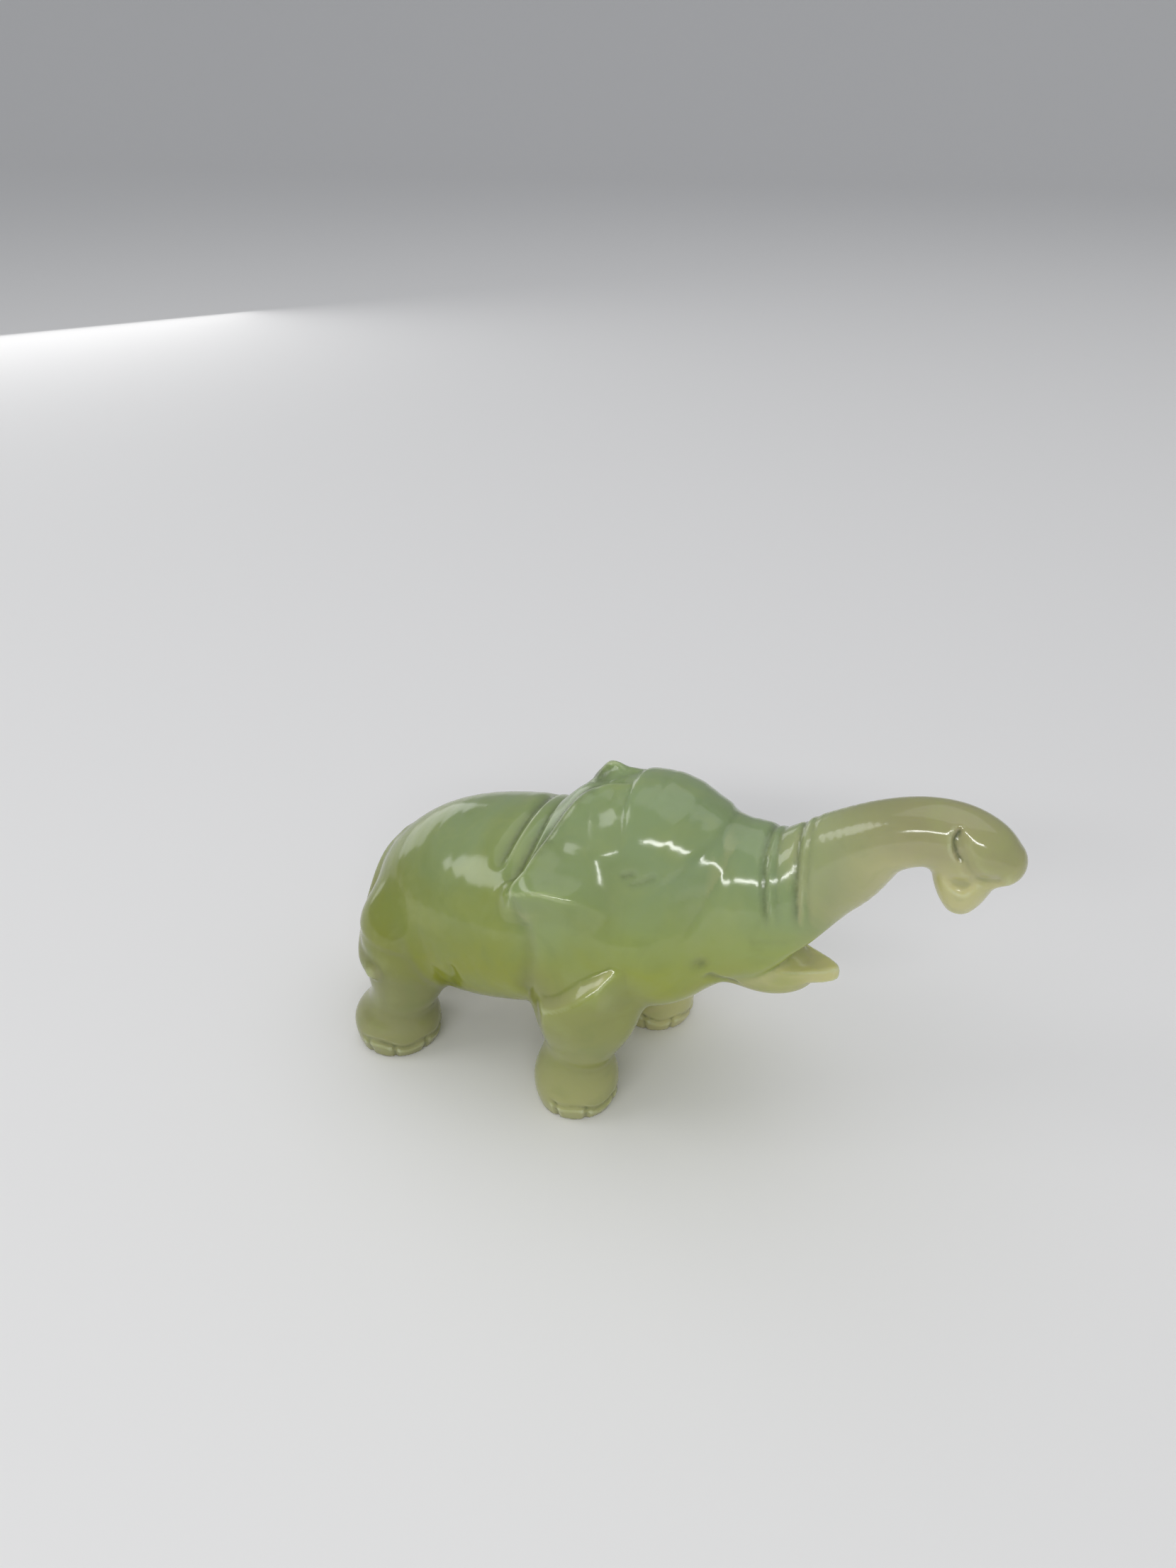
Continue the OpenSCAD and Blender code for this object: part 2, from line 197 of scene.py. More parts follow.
def line_gap(P, pts, along, deep=3.5):
    """Distance to a curve as it is seen along one direction, for points near its depth."""
    s = fair(pts, 5)
    n = np.asarray(along, float)
    n /= np.linalg.norm(n)
    best = np.full(len(P), 9.0)
    i = np.flatnonzero(((P > s.min(0) - 4) & (P < s.max(0) + 4)).all(1))
    Q = P[i]
    near = np.full(len(i), 9.0)
    for a, b in zip(s[:-1], s[1:]):
        e = b - a
        e = e - (e @ n) * n
        q = Q - a
        deepness = q @ n
        q = q - deepness[:, None] * n
        t = np.clip(q @ e / (e @ e + 1e-9), 0, 1)
        q = q - t[:, None] * e
        near = np.minimum(near, np.where(np.abs(deepness) < deep, np.sqrt((q * q).sum(1)), 9.0))
    best[i] = near
    return best


# ---- the elephant's own sizes, in millimetres from the crown ----
TORSO = [(-35.2, 0, 22.0, 10.2, 11.0), (-30.8, 0, 24.4, 14.5, 14.5), (-24, 0, 26.2, 17.0, 16.3),
         (-12, 0, 28.6, 17.8, 15.4), (2, 0, 30.2, 15.5, 13.8)]
HEAD = [(-5, 0, 39.0, 9.6, 11.6), (-0.4, 0, 39.7, 11, 12.1), (3.1, 0, 40.0, 11.2, 13.4),
        (8.1, 0, 34.1, 10.4, 8.7), (14.6, 0, 34.9, 9.4, 11.5), (20, 0, 35.9, 7.8, 10.5)]
TRUNK = [(17.0, 0, 38.2, 8.0, 10.8), (23.1, 0, 41.4, 6.7, 7.6), (28.5, 0, 46.2, 5.7, 7.0),
         (33.5, 0, 51.0, 5.1, 5.2), (38.5, 0, 53.4, 4.7, 4.7), (43, 0, 53.7, 4.6, 4.8),
         (46.6, 0, 52.8, 4.4, 4.5), (49.3, 0, 51.6, 3.5, 3.4)]
LOBE = [(45.3, 0, 51.0, 4.4, 4.9), (45.2, 0, 48.4, 4.0, 4.1), (45.2, 0, 46.4, 3.4, 3.3),
        (45.2, 0, 44.9, 2.6, 2.5)]
TAIL = [(-40.4, 0, 33.0, 1.5, 1.6), (-43.4, -0.6, 29.4, 1.7, 1.8), (-44.8, -2.4, 25.6, 1.8, 1.9),
        (-44.6, -6.2, 21.9, 1.8, 1.9), (-43.3, -10.4, 19.3, 1.8, 1.9), (-41.6, -13.6, 18.0, 1.8, 1.8),
        (-39.2, -16.2, 17.6, 1.4, 1.5)]
# foot x, foot y, thigh x, thigh y, foot radius
FEET = {"front_right": (-6.0, -12, -4.2, -10.5, 6.65), "front_left": (-1.5, 12, -3.5, 10.5, 6.65),
        "rear_right": (-39.5, -10.5, -36, -8.5, 7.15), "rear_left": (-39.5, 10.5, -36, 8.5, 7.15)}
# the bearings of the cuts between the toenails, and of the ends of the crease above them
NAILS = {"front_right": (-97, -53, -4, 41, 84), "front_left": (-86, -44, 3, 50, 95),
         "rear_right": (-103, -65, -20, 26, 70), "rear_left": (-72, -27, 19, 63, 101)}
# outline of an ear on its leaning plane: along the neck, down the ear
EAR = fair([(-1.5, -2.8), (-5.0, -2.2), (-8.5, 0.0), (-11.2, 4.4), (-13.0, 9.4), (-14.2, 14.8), (-14.2, 18.0),
            (-9.3, 17.0), (-3.9, 16.5), (2.0, 15.8), (2.0, 10.0), (1.0, 3.0)], 3)[:-1]
# outline of the left ear's upright flap: along the neck, height
FLAP = fair([(-8.6, 48.6), (-8.0, 50.2), (-7.2, 51.6), (-6.3, 52.5), (-5.3, 52.4), (-4.1, 51.8),
             (-2.6, 51.2), (-3.5, 48.0)], 3)[:-1]
LIP_TIP = 30.8  # how far the lower lip reaches
# fine cut lines on each side of the head and flank: points, seen along, width, depth, dirt
LINES = [
    ([(-3.2, 0, 51.7), (-3.4, -3.4, 50.9), (-4.1, -5.2, 49.7), (-3.6, -7.1, 48.3), (-2.3, -8.5, 47.3)],
     (0, -0.6, 0.8), 2.2, 0.32, 0.0),
    ([(1.0, -11.1, 43.1), (1.6, -11.1, 43.4), (2.3, -11.1, 43.7)], (0, -1, 0.2), 0.45, 0.16, 0.16),
    ([(2.4, -11.6, 42.2), (3.8, -11.4, 42.8), (5.2, -11.1, 43.7)], (0, -1, 0.2), 0.5, 0.12, 0.10),
    ([(13.8, -9.2, 27.9), (14.9, -7.3, 26.3), (16.6, -5.7, 24.5)], (0.2, -0.9, -0.4), 0.7, 0.4, 0.2),
    ([(19.6, -8.9, 35.8), (22, -8.2, 35.9), (24, -7.3, 36)], (0, -1, 0), 0.5, 0.08, 0.05),
    ([(-24.8, -16.6, 22.7), (-25, -15.9, 20.5), (-26.8, -13.4, 16.3)], (0, -1, -0.2), 0.9, 0.22, 0.05),
    ([(-13.6, -16.8, 38.2), (-13.0, -16.4, 35.8), (-11.6, -16.8, 33.9), (-11.0, -17.2, 31.5),
      (-11.0, -17.4, 28.8), (-11.6, -17.2, 25.6), (-12.4, -16.8, 23.0)], (0, -1, 0.2), 1.3, 0.5, 0.06),
]
# on the right side of the trunk's end: the nostril slot, the crease under the hood, the lobe's rim
SLOT = [(43.8, -3.8, 57.0), (43.4, -4.1, 56.1), (43.5, -4.3, 55.2), (43.9, -4.5, 54.2), (44.4, -4.5, 53.4)]
HOOD = [(44.1, -4.3, 56.0), (44.6, -4.5, 54.8), (45.3, -4.6, 53.3), (46.2, -4.5, 51.9),
        (47.7, -4.3, 50.9), (49.6, -3.4, 50.5)]
CUP = [(42.9, -4.0, 49.2), (44.3, -4.0, 48.0), (45.7, -4.0, 47.5), (46.7, -4.0, 48.7), (47.3, -4.0, 49.5)]


def leg_rows(x, y, u, v):
    """Slices of a leg from the thigh (u, v) down into the foot at (x, y)."""
    if x > -20:
        return [(u, v * 0.8, 29, 7.6, 7.6), (u, v * 0.97, 24, 8.2, 8.0),
                (0.25 * x + 0.75 * u, 0.3 * y + 0.7 * v, 18.5, 7.8, 7.9),
                (0.45 * x + 0.55 * u + 0.3, y, 14.2, 6.1, 6.2), (0.9 * x + 0.1 * u, y, 11.2, 5.2, 5.1),
                (x, y, 7, 4.8, 4.8), (x, y, 0, 4.6, 4.6)]
    return [(u, v, 22, 8.7, 8.7), (0.2 * x + 0.8 * u, 0.5 * (y + v), 16, 7.2, 7.2),
            (0.3 * x + 0.7 * u, y, 12, 5.9, 5.8), (x + 1.4, y, 9.2, 5.5, 5.2),
            (x + 0.8, y, 6, 5, 5), (x, y, 0, 4.8, 4.8)]


def on_side(P):
    """The point folded to the right side of the elephant."""
    return np.stack([P[:, 0], -np.abs(P[:, 1]), P[:, 2]], 1)


def ear_place(P):
    """Along, down and outward from the leaning plane of the nearer ear."""
    y = np.abs(P[:, 1]) - 4.0
    drop = 51.6 - P[:, 2]
    return P[:, 0], y * 0.724 + drop * 0.69, y * 0.69 - drop * 0.724


def soft_step(t):
    """3 t squared - 2 t cubed, held between 0 and 1."""
    t = np.clip(t, 0, 1)
    return t * t * (3 - 2 * t)


def add_ears(P, d, whole):
    """Each ear is relief over the neck: its front fades into the head, its face is hollow above
    a crest along its foot, and its back edge is bevelled where it is widest."""
    u, v, w = ear_place(P)
    i = np.flatnonzero((u > -19) & (u < 7) & (v > -8) & (v < 23))
    ui, vi, base = u[i], v[i], d[i]
    edge = outline(ui, vi, EAR)
    lift = 2.9 * soft_step((np.interp(vi, [4, 9], [0.6, 2.4]) - ui) / 12.5)
    low = soft_step((vi - 13.6) / 3)  # towards its foot the ear runs on into the shoulder
    bevel = np.interp(vi, [2, 12], [1.3, 2.0]) * np.clip(-edge, 0, 9)
    lift = cut(-lift, -1.2 - 1.9 * low - bevel, 1.2) * -1
    t = np.clip((17.0 - vi) / 4.5, 0, 1)
    dish = 1.4 * t * (2 - t) * soft_step((vi - 2) / 9)
    dish = dish * soft_step((ui + 13.6) / 5) * soft_step((-2.0 - ui) / 7)
    past = (edge + np.sqrt(edge * edge + 0.12)) / 2
    up = np.clip(lift - dish, 0, 4) * np.clip(1 - past / (0.3 + 3.1 * low), 0, 1) ** (1 + low)
    ear = cut(base - up, edge - 3.4 * low, 0.6)
    ear = cut(ear, w[i] - (1.5 + 0.16 * np.clip(vi, 0, 20)), 1.5)
    if whole:
        d[i] = join(base, ear, 0.03 + 0.8 * soft_step(up / 1.2))
    # the left ear has a taller upper flap, which stands upright
    i = np.flatnonzero((P[:, 1] > 0) & (P[:, 1] < 8) & (u > -13) & (u < 2) & (P[:, 2] > 43))
    x, y, z = P[i].T
    side = y - 2.6
    flat = np.maximum(outline(x + 0.4 * side, z + 0.45 * side, FLAP), 0)
    flap = np.hypot(flat, np.maximum(np.abs(side - 0.3 * (z - 50)) - 0.2, 0)) - 0.6
    d[i] = join(d[i], flap, 1.6)
    return d


def add_forearm(P, d, a, s):
    """A full forearm on side s, under the fold of the elbow: a ledge that faces up."""
    lean = np.array([(0.970, 0, 0.243), (0, 1, 0), (-0.243, 0, 0.970)])
    d = join(d, egg(P, (a + 0.2, s * 12.4, 20.4), (7.8, 6.9, 8.2), lean), 2.0)
    t = P[:, 0] - a
    fold = np.interp(t, [-6.5, -3.6, -1.1, 1.3, 3.9, 5.9], [22.3, 22.6, 23.7, 25.1, 27.2, 29.3])
    q = (P[:, 2] - fold) * 0.79
    far = soft_step((t + 6.0) / 2.8) * soft_step((7.6 - t) / 3.4) * soft_step((s * P[:, 1] - 8) / 5)
    width = np.interp(t, [-5, -2, 0, 1.5, 3.4, 6], [1.2, 1.5, 2.1, 2.6, 2.3, 1.2])
    return d - 1.5 * far * np.where(q < 0, np.exp(-(q / 5.0) ** 2), soft_step(1 - q / width))


def lower_lip(P):
    """A flat plate with a rising top that narrows to a blunt point."""
    half = np.interp(P[:, 0], [12, 21, 23, 25, 27, 29, 30.3, LIP_TIP],
                     [5.0, 5.6, 4.7, 3.9, 2.9, 1.9, 0.9, 0.0])
    top = 28.1 + 0.08 * np.clip(25 - P[:, 0], 0, 5)
    side = np.maximum(np.abs(P[:, 1]) - half, P[:, 0] - LIP_TIP) * 0.85
    return np.maximum(cut(side, np.abs(P[:, 2] - (top - 1.1)) - 1.1, 0.5), 14 - P[:, 0])


def form(P, whole=True):
    """The figure before its fine cuts: barrel, head and trunk blended, the ears raised as
    relief over them, then legs, forearm folds, jaw, lip and tail blended on. Without the
    open mouth and the ears' relief it serves for the depth of the stone."""
    d = join(join(member(P, TORSO), member(P, HEAD), 4), member(P, TRUNK), 5)
    # the roof of the open mouth slopes up to the underside of the trunk
    if whole:
        roof = (P[:, 0] - 21.7) * 0.79 - (P[:, 2] - 28.3) * 0.61 - 0.45 * np.clip(P[:, 2] - 33, 0, 30)
        d = cut(d, roof - 6 * np.clip(13.5 - P[:, 0], 0, 99) - np.clip(P[:, 0] - 30, 0, 99), 2.0)
    for s in (-1, 1):
        d = join(d, egg(P, (-7.5, s * 9.2, 34.0), (7.4, 8.0, 8.4)), 3.0)
    d = add_ears(P, d, whole)
    for x, y, a, b, r in FEET.values():
        mid, tall = (4.2, 6.6) if x > -20 else (3.8, 5.4)
        up = (P[:, 2] - mid) / np.where(P[:, 2] > mid, tall, 8.0)
        k = np.sqrt(((P[:, 0] - x) / r) ** 2 + ((P[:, 1] - y) / r) ** 2 + up ** 2) + 1e-9
        foot = (k - 1) * 0.93 * r
        d = join(d, join(member(P, leg_rows(x, y, a, b)), foot, 2.4), 2.2)
    for name in ("front_right", "front_left"):
        d = add_forearm(P, d, FEET[name][2], np.sign(FEET[name][1]))
    d = join(d, member(P, LOBE, 5), 1.2)
    d = join(d, egg(P, (19.5, 0, 26.0), (8, 5.5, 4.2)), 1.6)
    d = join(d, lower_lip(P), 0.5)
    return join(d, member(P, TAIL, 4, (0.3, 0.8, 0.5)), 1.0)


def cuts(P):
    """How deep the fine cuts go at each point, and how dark they are: grime in the cuts, and painted shadow
    along the back edge of each ear.
    """
    x, y, z = P.T
    Q = on_side(P)
    depth, dirt_and_shade = np.zeros(len(P)), np.zeros(len(P))
    for pts, along, width, deep, dark in LINES:
        g = np.exp(-(line_gap(Q, pts, along) / width) ** 2)
        depth += deep * g
        dirt_and_shade += dark * g
    # two collar grooves over the back: steep in front, a long slope behind
    for x0, bend, low in ((-14.5, 0.004, 39.0), (-17.8, 0.004, 40.0)):
        s = x - (x0 - bend * y * y)
        g = np.where(s > 0, np.exp(-(s / 0.45) ** 2), np.exp(-(s / 1.1) ** 2))
        fade = soft_step((z - low + 0.8) / 1.8) * (x < -8)
        depth += 0.7 * g * fade
        dirt_and_shade += 0.25 * np.exp(-((s + 0.2) / 0.5) ** 2) * fade
    # two rings round the root of the trunk, each a pair of fine cuts
    for x0, lean, z0 in ((19.0, 0.24, 48.4), (23.6, 0.15, 49.7)):
        s = (x - x0 + lean * (z - z0)) * 0.95
        fade = soft_step((z - 37.5) / 4.0) * (x > 12)
        for shift, deep in ((0.0, 0.36), (1.5, 0.14)):
            g = np.exp(-((s - shift) / 0.5) ** 2) * fade
            depth += deep * g
            dirt_and_shade += 0.22 * deep / 0.36 * g
    # nostril slot, the crease under the hood, and the hollows below it
    side = soft_step((-Q[:, 1] - 1.2) / 1.5)
    g = np.exp(-(line_gap(Q, SLOT, (0, -1, 0.5)) / 0.32) ** 2) * side
    depth += 0.5 * g
    dirt_and_shade += 0.42 * g
    depth += 0.5 * np.exp(-(line_gap(Q, HOOD, (0, -1, 0.5)) / 0.8) ** 2) * side
    depth -= 0.22 * np.exp(-(line_gap(Q, CUP, (0, -1, 0.5)) / 0.55) ** 2) * side
    for c, r, deep, dark in (((48.2, -4.3, 50.2), (2.2, 1.6, 0.9), 0.4, 0.0),
                             ((45.2, -4.2, 49.1), (1.9, 1.6, 1.0), 0.9, 0.0),
                             ((12.8, -10.6, 30.9), (1.1, 2.0, 1.2), 0.35, 0.25)):
        g = np.exp(-(((Q - np.array(c)) / np.array(r)) ** 2).sum(1))
        depth += deep * g
        dirt_and_shade += dark * g
    # toenails: a crease that dips towards the front, and short cuts below it
    for name, (cx, cy, a, b, r) in FEET.items():
        i = np.flatnonzero((np.hypot(x - cx, y - cy) < r + 1.5) & (z < 8))
        turn = np.degrees(np.arctan2(y[i] - cy, x[i] - cx))
        first, last = NAILS[name][0], NAILS[name][-1]
        level = 2.5 + 1.3 * np.clip(np.abs(turn) / 100, 0, 1) ** 2
        span = soft_step((turn - first + 14) / 12) * soft_step((last + 14 - turn) / 12)
        level = level + 0.35 * np.sin(np.radians(turn * 6.1 + 40 * cx))
        g = np.exp(-((z[i] - level) / 0.38) ** 2) * span
        depth[i] += 0.26 * g
        dirt_and_shade[i] += 0.16 * g * soft_step(np.sin(np.radians(turn * 4.2 + 70 * cy)) + 0.6)
        # the nail stands a little proud just under the crease
        depth[i] -= 0.2 * np.exp(-((z[i] - level + 0.9) / 0.7) ** 2) * span
        for t in NAILS[name]:
            g = np.exp(-((turn - t) * np.pi / 180 * r / 0.34) ** 2) * soft_step((level + 0.2 - z[i]) / 0.5)
            depth[i] += 0.36 * g
            dirt_and_shade[i] += 0.2 * g
    # painted shadow along the back edge of each ear, where it rises from the groove behind it
    u, v, _ = ear_place(P)
    i = np.flatnonzero((u > -17) & (u < -4) & (v > -4) & (v < 19))
    edge = outline(u[i], v[i], EAR)
    dark = 0.42 * np.exp(-((edge - 0.1) / 0.75) ** 2) + 0.32 * np.exp(-((edge + 1.1) / 1.1) ** 2)
    dirt_and_shade[i] += dark * soft_step((-u[i] - 5.5) / 3) * soft_step((14 - v[i]) / 4)
    return depth, dirt_and_shade


def field(P):
    """The finished figure, standing flat on its soles at zero height."""
    return np.maximum(form(P) + cuts(P)[0], -P[:, 2])


# ---- a skin over the field ----
LOW, HIGH = np.array([-53.0, -22.0, -1.3]), np.array([55.5, 22.0, 61.0])
STEP = 0.42  # edge of the skin's cells


def stretch(V, n):
    """Linear values between the samples of V, four to every step, n of them on each axis."""
    for axis in range(3):
        p = np.minimum(np.arange(n[axis]) / 4.0, V.shape[axis] - 1.001)
        i = p.astype(int)
        w = (p - i).reshape([-1 if k == axis else 1 for k in range(3)])
        V = np.take(V, i, axis) * (1 - w) + np.take(V, i + 1, axis) * w
    return V


def sample(V, low, step, P):
    """Linear value of the samples V at the points P."""
    p = np.clip((P - low) / step, 0, np.array(V.shape) - 1.001)
    i = p.astype(int)
    w = p - i
    out = 0
    for a in (0, 1):
        for b in (0, 1):
            for c in (0, 1):
                k = np.abs(1 - a - w[:, 0]) * np.abs(1 - b - w[:, 1]) * np.abs(1 - c - w[:, 2])
                out = out + k * V[i[:, 0] + a, i[:, 1] + b, i[:, 2] + c]
    return out


def skin(low, high, step):
    """Net of quads round the cells that the surface crosses. Each cell gives one point, the
    mean of the crossings on its edges, and each crossed edge gives the quad of its four cells.
    Exact values are worked out only near the surface, which a grid four times coarser finds."""
    n = (np.ceil((high - low) / step / 4).astype(int)) * 4 + 1
    rough_n = (n - 1) // 4 + 1
    rough = low + 4 * step * np.stack(np.meshgrid(*[np.arange(k) for k in rough_n], indexing="ij"), -1)
    coarse = form(rough.reshape(-1, 3)).reshape(rough_n)
    coarse = np.maximum(coarse, -rough[..., 2])
    V = stretch(coarse, n)
    near = np.argwhere(np.abs(V) < 1.5)
    P = low + near * step
    V[tuple(near.T)] = field(P)
    inside = V < 0
    count = sum(inside[a:n[0] - 1 + a, b:n[1] - 1 + b, c:n[2] - 1 + c].astype(np.int8)
                for a in (0, 1) for b in (0, 1) for c in (0, 1))
    cells = np.argwhere((count > 0) & (count < 8))
    index = np.full(count.shape, -1, np.int64)
    index[tuple(cells.T)] = np.arange(len(cells))
    total, hits = np.zeros((len(cells), 3)), np.zeros(len(cells))
    corners = np.array([(a, b, c) for a in (0, 1) for b in (0, 1) for c in (0, 1)])
    for p in corners:
        for axis in range(3):
            if p[axis]:
                continue
            q = p.copy()
            q[axis] = 1
            v0, v1 = V[tuple((cells + p).T)], V[tuple((cells + q).T)]
            m = (v0 < 0) != (v1 < 0)
            t = np.where(m, v0 / np.where(m, v0 - v1, 1), 0)
            total += np.where(m[:, None], p + t[:, None] * (q - p), 0)
            hits += m
    points = low + (cells + total / hits[:, None]) * step
    quads = []
    for axis in range(3):
        a, b = (axis + 1) % 3, (axis + 2) % 3
        s0 = [slice(1, k - 1) for k in n]
        s0[axis] = slice(0, n[axis] - 1)
        s1 = list(s0)
        s1[axis] = slice(1, n[axis])
        first, second = inside[tuple(s0)], inside[tuple(s1)]
        at = np.argwhere(first != second)
        at[:, a] += 1
        at[:, b] += 1
        flip = ~first[first != second]
        ring = []
        for da, db in ((1, 1), (0, 1), (0, 0), (1, 0)):
            c = at.copy()
            c[:, a] -= da
            c[:, b] -= db
            ring.append(index[tuple(c.T)])
        ring = np.stack(ring, 1)
        ring[flip] = ring[flip][:, ::-1]
        quads.append(ring)
    return points, np.vstack(quads), coarse


def settle(P, times=2):
    """Slides points onto the exact surface, with a slope taken over a small tetrahedron."""
    K = np.array([(1, -1, -1), (-1, -1, 1), (-1, 1, -1), (1, 1, 1)]) * 0.12
    for _ in range(times):
        f = [field(P + k) for k in K]
        g = sum(v[:, None] * k for v, k in zip(f, K)) / (4 * 0.12 ** 2)
        d = sum(f) / 4
        g2 = (g * g).sum(1)
        P = P - np.clip(d / np.maximum(g2, 0.3), -0.3, 0.3)[:, None] * g
    return P, g / np.sqrt((g * g).sum(1))[:, None]


def stone_behind(points, slope, coarse):
    """How much stone lies behind each point, felt for along the inward slope. The mouth's
    slope is left out above the jaw, where it would show as an edge, and the ears count as
    part of the thick neck."""
    cells = [np.arange(k) for k in coarse.shape]
    grid = LOW + 4 * STEP * np.stack(np.meshgrid(*cells, indexing="ij"), -1)
    closed = form(grid.reshape(-1, 3), whole=False).reshape(coarse.shape)
    coarse = coarse + (np.minimum(closed, coarse) - coarse) * soft_step((grid[..., 2] - 29) / 5)
    body = np.zeros(len(points))
    for reach in (1.5, 3, 5, 8, 12):
        body = np.maximum(body, -sample(coarse, LOW, STEP * 4, points - slope * reach))
    u, v, _ = ear_place(points)
    neck = soft_step((v + 6) / 3) * soft_step((22 - v) / 3) * (points[:, 2] > 33)
    neck = neck * soft_step((u + 20) / 3) * soft_step((4 - u) / 4)
    return np.maximum(body, 7.0 * neck)


def bend_at(points, slope):
    """How the surface bends: the mean distance from it at four points a little to each side."""
    across = np.cross(slope, (0.3, 0.9, 0.2))
    across /= np.sqrt((across * across).sum(1))[:, None]
    along = np.cross(slope, across)
    return sum(field(points + 0.7 * k) for k in (across, -across, along, -along)) / 4


def make_stone(material):
    """The carved stone as one piece, with its depth, its grime and painted shadow, and its bend kept at every
    point.
    """
    points, quads, coarse = skin(LOW, HIGH, STEP)
    points, slope = settle(points)
    flat = points[:, 2] < 0.25
    points[flat, 2] = np.maximum(points[flat, 2], 0.0)
    body = stone_behind(points, slope, coarse)
    dirt_and_shade = np.clip(cuts(points)[1], 0, 1)
    bend = bend_at(points, slope)
    bend[flat] = 0
    me = bpy.data.meshes.new("carved_stone")
    place = (points + np.array([CROWN_X, 0, 0])) / 1000
    me.from_pydata(place.tolist(), [], quads.tolist())
    for name, values in (("stone_depth", body), ("cut_grime_and_shade", dirt_and_shade), ("edge_bend", bend)):
        att = me.attributes.new(name, "FLOAT", "POINT")
        att.data.foreach_set("value", values.astype(np.float32))
    me.shade_smooth()
    me.materials.append(material)
    ob = link("carved_stone", me)
    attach(ob, "root")
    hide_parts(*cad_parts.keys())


# ---- the jade ----
def make_jade():
    mat = bpy.data.materials.new("polished_jade")
    mat.use_nodes = True
    nt = mat.node_tree
    N, L = nt.nodes, nt.links
    b = N["Principled BSDF"]

    def node(kind, **values):
        n = N.new(kind)
        for k, v in values.items():
            if k in n.inputs:
                n.inputs[k].default_value = v
            else:
                setattr(n, k, v)
        return n

    def noise(scale, detail, rough, distort, vector):
        n = node("ShaderNodeTexNoise", Scale=scale, Detail=detail, Roughness=rough, Distortion=distort)
        L.new(vector, n.inputs["Vector"])
        return n.outputs["Fac"]

    def spread(value, a, b_, c=0.0, d=1.0):
        n = node("ShaderNodeMapRange")
        n.inputs[1].default_value, n.inputs[2].default_value = a, b_
        n.inputs[3].default_value, n.inputs[4].default_value = c, d
        L.new(value, n.inputs[0])
        return n.outputs[0]

    def mix(f, c1, c2, blend="MIX"):
        n = node("ShaderNodeMix", data_type="RGBA", blend_type=blend)
        for socket, value in ((n.inputs[0], f), (n.inputs[6], c1), (n.inputs[7], c2)):
            if isinstance(value, (int, float)):
                socket.default_value = value
            elif isinstance(value, tuple):
                socket.default_value = (*value, 1)
            else:
                L.new(value, socket)
        return n.outputs[2]

    def maths(op, a, b_):
        n = node("ShaderNodeMath", operation=op)
        for socket, value in ((n.inputs[0], a), (n.inputs[1], b_)):
            if isinstance(value, (int, float)):
                socket.default_value = value
            else:
                L.new(value, socket)
        return n.outputs[0]

    def both(a, b_):
        return maths("MULTIPLY", a, b_)

    place = node("ShaderNodeTexCoord").outputs["Object"]
    apart = node("ShaderNodeSeparateXYZ")
    L.new(place, apart.inputs[0])
    x, y, z = apart.outputs
    depth = node("ShaderNodeAttribute", attribute_name="stone_depth").outputs["Fac"]
    dirt_and_shade = node("ShaderNodeAttribute", attribute_name="cut_grime_and_shade").outputs["Fac"]
    bend = node("ShaderNodeAttribute", attribute_name="edge_bend").outputs["Fac"]
    clouds = noise(55.0, 4.0, 0.5, 0.8, place)
    wisps = noise(150.0, 4.0, 0.5, 0.5, place)
    grit = noise(900.0, 3.0, 0.6, 0.0, place)
    waves = noise(85.0, 2.0, 0.4, 0.0, place)

    # yellow green below, partly a painted warm light thrown up from beneath, bluer above, with clouds; paler
    # where the stone is thin, a painted glow of light passing through it
    height = maths("ADD", spread(z, 0.023, 0.047), spread(clouds, 0.3, 0.7, -0.22, 0.22))
    stone = mix(height, (0.285, 0.32, 0.020), (0.27, 0.355, 0.17))
    feet = spread(z, 0.018, 0.010)
    # painted glow: thin stone made paler, as if lit through, less so at the feet
    thin = both(spread(depth, 1.2, 7.0, 1.0, 0.0), spread(feet, 0, 1, 1.0, 0.3))
    stone = mix(thin, stone, (0.52, 0.50, 0.25))
    # legs and feet: greyer, and paler again towards the soles, a painted glow of light through the stone
    # there
    limb = maths("MAXIMUM", feet, both(spread(depth, 9.0, 6.5), spread(z, 0.029, 0.023)))
    front = both(spread(x, -0.0175, -0.0135), spread(x, 0.006, -0.001))
    limb = maths("MAXIMUM", limb, both(front, spread(z, 0.0300, 0.0240)))
    stone = mix(both(limb, 0.6), stone, (0.27, 0.28, 0.125))
    # painted glow near the soles
    stone = mix(spread(z, 0.011, 0.005, 0.0, 0.35), stone, (0.50, 0.48, 0.24))
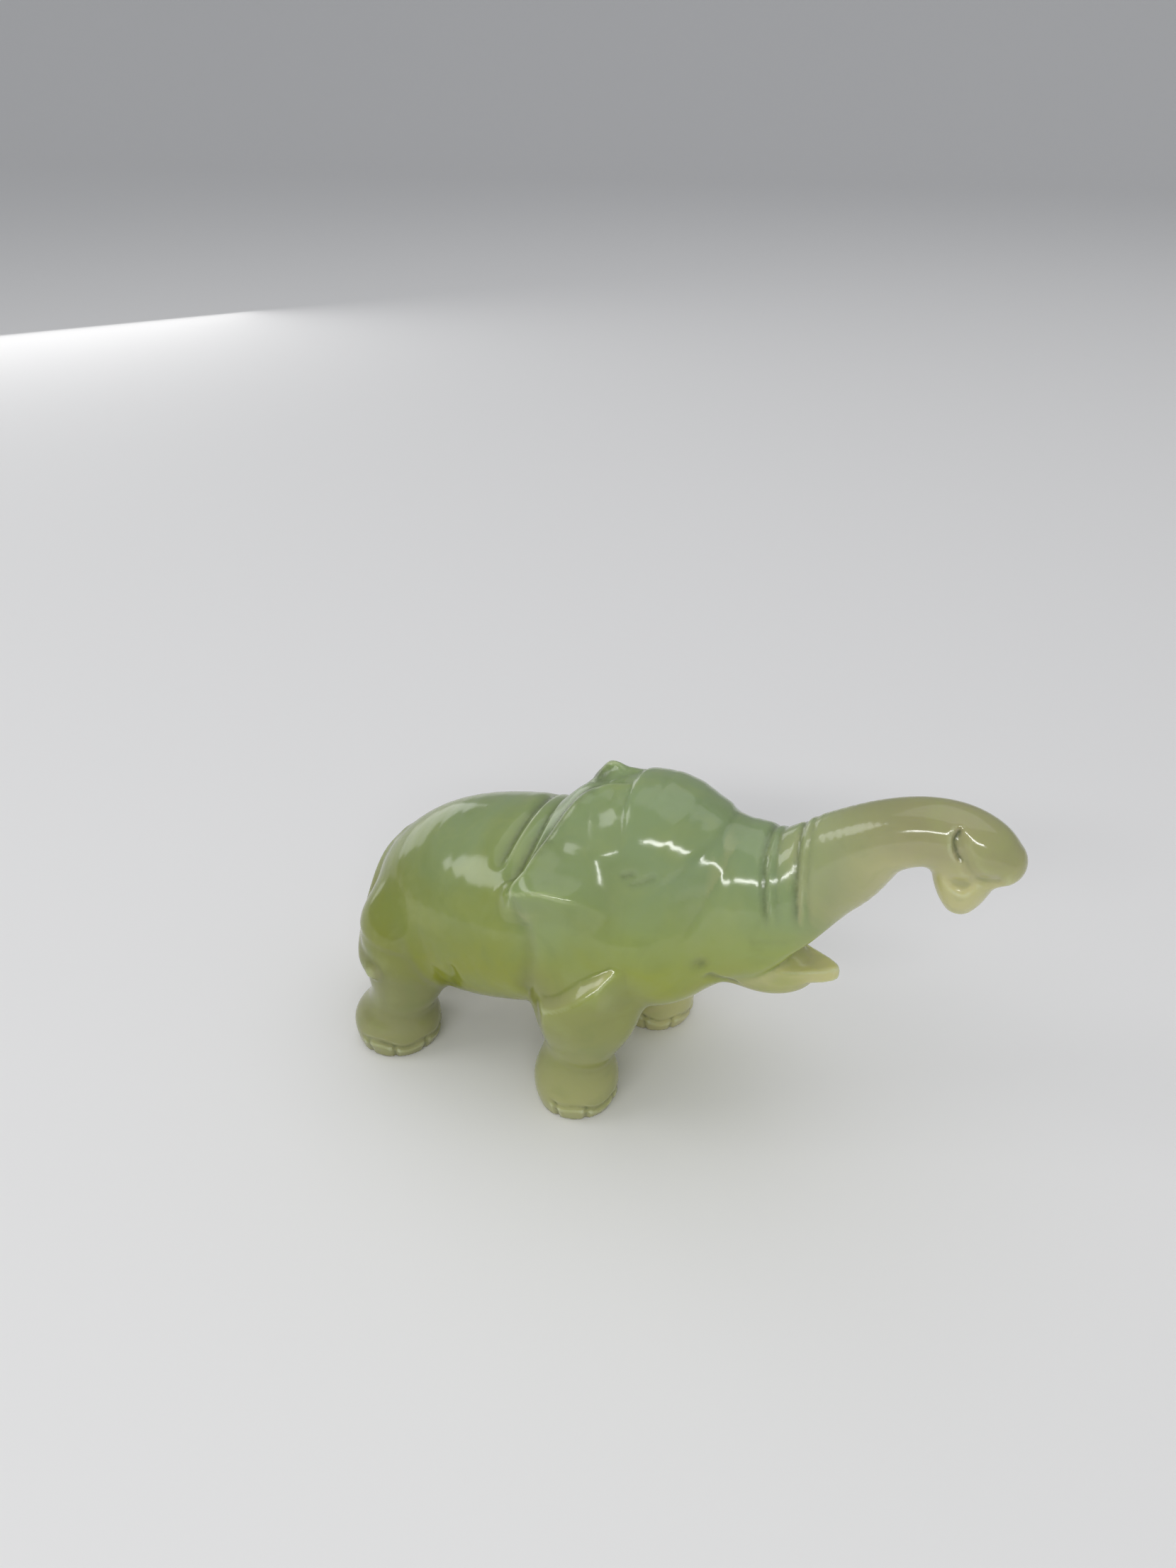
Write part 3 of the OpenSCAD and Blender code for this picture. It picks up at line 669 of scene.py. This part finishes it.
    # the trunk: brownish from its middle on, the painted colour of a wooden table seen through the stone;
    # darker along its top; paler below its arch, a painted glow of light through the thin stone there; green
    # at its tip
    # painted: the brown of a table seen through the stone
    stone = mix(spread(x, 0.021, 0.034, 0.0, 0.45), stone, (0.40, 0.33, 0.18))
    top = both(spread(z, 0.0530, 0.0565), spread(x, 0.045, 0.036, 0.0, 0.4))
    stone = mix(top, stone, (0.24, 0.25, 0.10))
    # painted glow of light through the thin lower trunk and lobe
    under = both(spread(z, 0.0530, 0.0495), spread(x, 0.026, 0.034, 0.0, 0.5))
    stone = mix(under, stone, (0.68, 0.66, 0.32))
    tip = both(spread(z, 0.0485, 0.0515), spread(x, 0.040, 0.047, 0.0, 0.4))
    stone = mix(tip, stone, (0.26, 0.28, 0.11))
    # the barrel: darker towards the rump; the left feet: paler, a painted glow of light coming through the
    # stone from behind
    tone = both(spread(x, -0.045, 0.013, -0.22, 0.18), spread(z, 0.044, 0.034))
    stone = mix(1.0, stone, maths("ADD", tone, 1.0), "MULTIPLY")
    # painted glow on the left feet
    stone = mix(both(feet, spread(y, 0.0, 0.008, 0.0, 0.6)), stone, (0.66, 0.62, 0.31))
    # wisps; pale ridges and dark hollows, a painted highlight along the ridges and painted shade in the
    # hollows; and dirt in the cuts, with painted shadow along the back edge of each ear
    stone = mix(spread(wisps, 0.50, 0.74, 0.0, 0.30), stone, (0.38, 0.43, 0.15))
    stone = mix(spread(wisps, 0.44, 0.24, 0.0, 0.25), stone, (0.17, 0.235, 0.06))
    # painted highlight on ridges, then painted shade in hollows
    stone = mix(spread(bend, 0.07, 0.30, 0.0, 0.7), stone, (0.60, 0.65, 0.44))
    stone = mix(spread(bend, -0.05, -0.22, 0.0, 0.4), stone, (0.17, 0.22, 0.06))
    # dirt in the cuts, and painted shadow along the back edge of each ear
    residue_and_shade = both(dirt_and_shade, spread(grit, 0.3, 0.6, 0.55, 1.3))
    stone = mix(residue_and_shade, stone, (0.055, 0.060, 0.022))
    L.new(stone, b.inputs["Base Color"])
    polish = maths("ADD", spread(waves, 0.3, 0.7, 0.10, 0.18), both(dirt_and_shade, 0.3))
    L.new(polish, b.inputs["Roughness"])
    b.inputs["IOR"].default_value = 1.6
    b.subsurface_method = "RANDOM_WALK"
    b.inputs["Subsurface Weight"].default_value = 0.75
    b.inputs["Subsurface Radius"].default_value = (0.9, 1.0, 0.5)
    b.inputs["Subsurface Scale"].default_value = 0.005
    bump = node("ShaderNodeBump", Strength=0.15, Distance=0.0004)
    L.new(waves, bump.inputs["Height"])
    fine = node("ShaderNodeBump", Strength=0.05, Distance=0.0001)
    L.new(grit, fine.inputs["Height"])
    L.new(bump.outputs[0], fine.inputs["Normal"])
    L.new(fine.outputs[0], b.inputs["Normal"])
    return mat


make_camera()
make_sweep()
make_light()
make_stone(make_jade())
